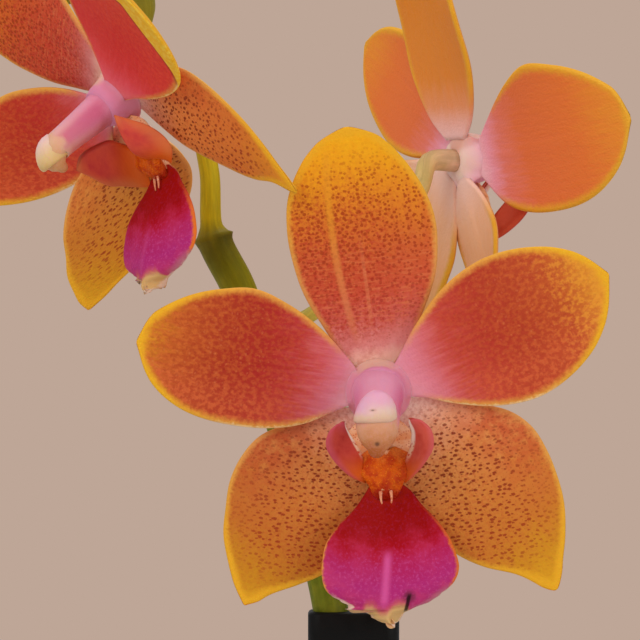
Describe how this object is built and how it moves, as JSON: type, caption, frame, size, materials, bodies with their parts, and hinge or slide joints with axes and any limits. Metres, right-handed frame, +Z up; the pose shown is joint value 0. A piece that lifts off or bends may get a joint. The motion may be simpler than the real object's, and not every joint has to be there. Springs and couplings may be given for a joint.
{
  "type": "potted moth orchid",
  "caption": "Moth orchid growing in a plain pot of bark: strap leaves, aerial roots and a staked, clipped flower spike with red and orange blooms, magenta lips and small buds.",
  "frame": {"origin": "middle of the pot's flat underside", "axes": "+Z up along the pot's axis, -Y towards the viewer of the picture, whom the front bloom faces"},
  "size_m": [0.297, 0.184, 0.4065],
  "materials": {
    "pot": "smooth off-white glaze",
    "bark": "rough, split, matte",
    "root": "matte, silvery grey-green",
    "leaf": "waxy, dark green",
    "stem": "waxy, olive green",
    "stake": "smooth, stained dark green",
    "clip": "black, moulded",
    "bud": "waxy, yellow-olive",
    "sepal": "satin orange with fine dark spots",
    "petal": "satin red with a yellow rim",
    "lip": "satin dark red to magenta",
    "column": "satin pink",
    "anther_cap": "satin pale pink",
    "pedicel": "waxy, pale yellow-green"
  },
  "bodies": {
    "root": {"pot": "pot", "bark": "bark", "crown_roots": "root", "leaf_1": "leaf", "leaf_2": "leaf", "leaf_3": "leaf", "leaf_4": "leaf", "leaf_5": "leaf", "leaf_6": "leaf", "spike": "stem", "stake": "stake", "clip": "clip", "bud_1": "bud", "bud_2": "bud", "front_dorsal_sepal": "sepal", "front_petal_left": "petal", "front_petal_right": "petal", "front_lateral_sepal_left": "sepal", "front_lateral_sepal_right": "sepal", "front_lip": "lip", "front_column": "column", "front_anther_cap": "anther_cap", "front_pedicel": "pedicel", "left_dorsal_sepal": "sepal", "left_petal_left": "petal", "left_petal_right": "petal", "left_lateral_sepal_left": "sepal", "left_lateral_sepal_right": "sepal", "left_lip": "lip", "left_column": "column", "left_anther_cap": "anther_cap", "left_pedicel": "pedicel", "back_dorsal_sepal": "sepal", "back_petal_left": "petal", "back_petal_right": "petal", "back_lateral_sepal_left": "sepal", "back_lateral_sepal_right": "sepal", "back_lip": "lip", "back_column": "column", "back_anther_cap": "anther_cap", "back_pedicel": "pedicel"}
  },
  "joints": []
}
